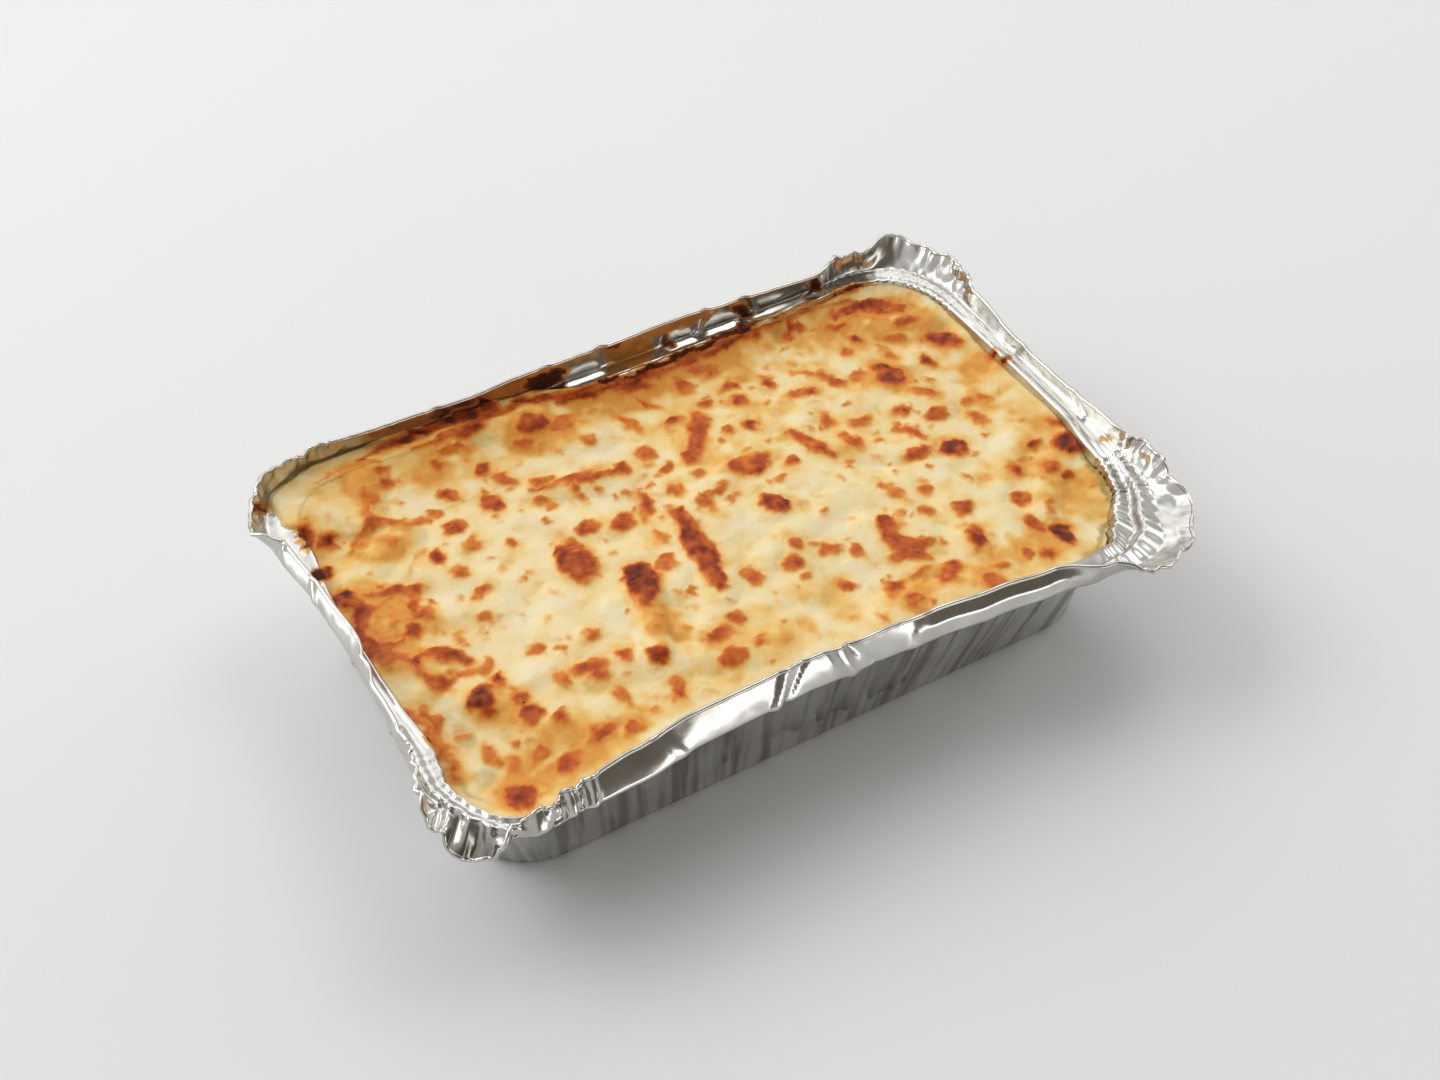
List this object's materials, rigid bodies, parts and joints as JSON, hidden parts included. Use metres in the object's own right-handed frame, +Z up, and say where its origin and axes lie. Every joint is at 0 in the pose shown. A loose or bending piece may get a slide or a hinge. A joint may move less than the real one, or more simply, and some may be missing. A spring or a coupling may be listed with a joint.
{
  "type": "bechamel pasta bake in a foil tray",
  "caption": "Oblong crimped foil tray filled with a baked pasta dish under a lumpy, browned white sauce, for serving hot from its tray.",
  "frame": {"origin": "centre of the tray's flat foot", "axes": "+Z up, +X along the tray's length, +Y across it towards the back"},
  "size_m": [0.2383, 0.1607, 0.0544],
  "materials": {
    "foil": "bright rolled foil, creased and pleated by hand",
    "bake": "creamy baked sauce with a slight oily sheen, spotted golden to dark brown"
  },
  "bodies": {
    "root": {"foil_tray": "foil", "pasta_bake": "bake"}
  },
  "joints": []
}
